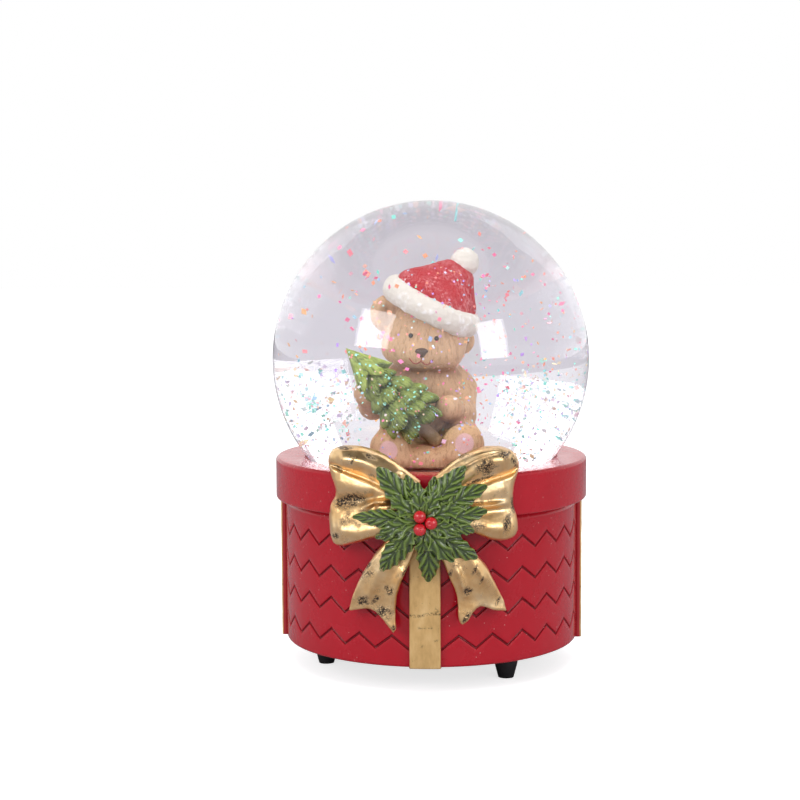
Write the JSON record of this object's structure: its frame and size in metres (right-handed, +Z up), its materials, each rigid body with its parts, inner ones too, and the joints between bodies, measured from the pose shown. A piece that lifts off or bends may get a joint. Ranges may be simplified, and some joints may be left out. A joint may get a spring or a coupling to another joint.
{
  "type": "snow globe",
  "caption": "Musical snow globe: liquid-filled glass ball with a bear figure on a round gift box with ribbon, bow and holly, and a wind-up movement inside.",
  "frame": {"origin": "on the surface that the feet stand on, midway between the ball's back and the front of the berries, and on the globe's middle plane from left to right", "axes": "+Z up along the globe's axis, -Y towards the front, where the bow is, +X to the right as seen from the front"},
  "size_m": [0.1, 0.109, 0.1463],
  "materials": {
    "glass": "clear, polished",
    "liquid": "clear liquid with glitter",
    "stopper_rubber": "matte",
    "seat_rubber": "matte",
    "pedestal_paint": "painted resin",
    "bear_paint": "painted resin, satin",
    "hat_paint": "painted resin, dry brushed",
    "trim_paint": "painted resin, fluffy texture",
    "tree_paint": "painted resin, dry brushed",
    "trunk_paint": "painted resin",
    "red_lacquer": "gloss lacquer with fine pale specks",
    "gold_leaf": "burnished gold finish with dark crackle",
    "holly_paint": "gloss paint",
    "berry_paint": "high gloss paint",
    "black_plastic": "moulded, satin",
    "screw_steel": "plated",
    "zinc_casting": "die cast",
    "spring_steel": "blued",
    "comb_steel": "ground",
    "arbor_steel": "turned",
    "gear_brass": "cut brass",
    "key_brass": "plated stamping",
    "white_nylon": "moulded"
  },
  "bodies": {
    "base": {"glass_globe": "glass", "water_fill": "liquid", "rubber_stopper": "stopper_rubber", "globe_seat_ring": "seat_rubber", "figure_pedestal": "pedestal_paint", "bear_figure": "bear_paint", "santa_hat": "hat_paint", "hat_trim": "trim_paint", "christmas_tree": "tree_paint", "tree_trunk": "trunk_paint", "box_lid": "red_lacquer", "box_body": "red_lacquer", "ribbon_front": "gold_leaf", "ribbon_right": "gold_leaf", "ribbon_back": "gold_leaf", "ribbon_left": "gold_leaf", "bow_loop_left": "gold_leaf", "bow_loop_right": "gold_leaf", "bow_tail_left": "gold_leaf", "bow_tail_right": "gold_leaf", "bow_knot": "gold_leaf", "holly_leaves": "holly_paint", "holly_berries": "berry_paint", "bottom_cover": "black_plastic", "cover_feet": "black_plastic", "cover_screws": "screw_steel", "movement_bedplate": "zinc_casting", "movement_screws": "screw_steel", "spring_barrel": "zinc_casting", "mainspring": "spring_steel", "music_comb": "comb_steel", "comb_screws": "screw_steel", "cylinder_bearings": "zinc_casting", "governor_bracket": "zinc_casting"},
    "winding": {"winding_arbor": "arbor_steel", "winding_key": "key_brass", "drive_wheel": "gear_brass"},
    "cylinder": {"pinned_cylinder": "gear_brass", "cylinder_pinion": "arbor_steel", "cylinder_gear": "gear_brass"},
    "intermediate": {"intermediate_arbor": "arbor_steel", "worm_wheel": "white_nylon"},
    "governor": {"governor_worm": "gear_brass", "governor_fly": "white_nylon"}
  },
  "joints": [
    {"name": "winding_turn", "type": "hinge", "parent": "base", "child": "winding", "pos_m": [0, 0.0045, 0], "axis": [0, 0, 1], "continuous": true},
    {"name": "cylinder_turn", "type": "hinge", "parent": "base", "child": "cylinder", "pos_m": [0, 0.0045, 0.03418], "axis": [1, 0, 0], "continuous": true},
    {"name": "intermediate_turn", "type": "hinge", "parent": "base", "child": "intermediate", "pos_m": [0, 0.0145, 0.03418], "axis": [1, 0, 0], "continuous": true},
    {"name": "governor_turn", "type": "hinge", "parent": "base", "child": "governor", "pos_m": [0.0324, 0.0215, 0], "axis": [0, 0, 1], "continuous": true}
  ],
  "couplings": [
    {"joint": "cylinder_turn", "follows": "winding_turn", "ratio": 4},
    {"joint": "intermediate_turn", "follows": "winding_turn", "ratio": -12},
    {"joint": "governor_turn", "follows": "winding_turn", "ratio": 240}
  ]
}
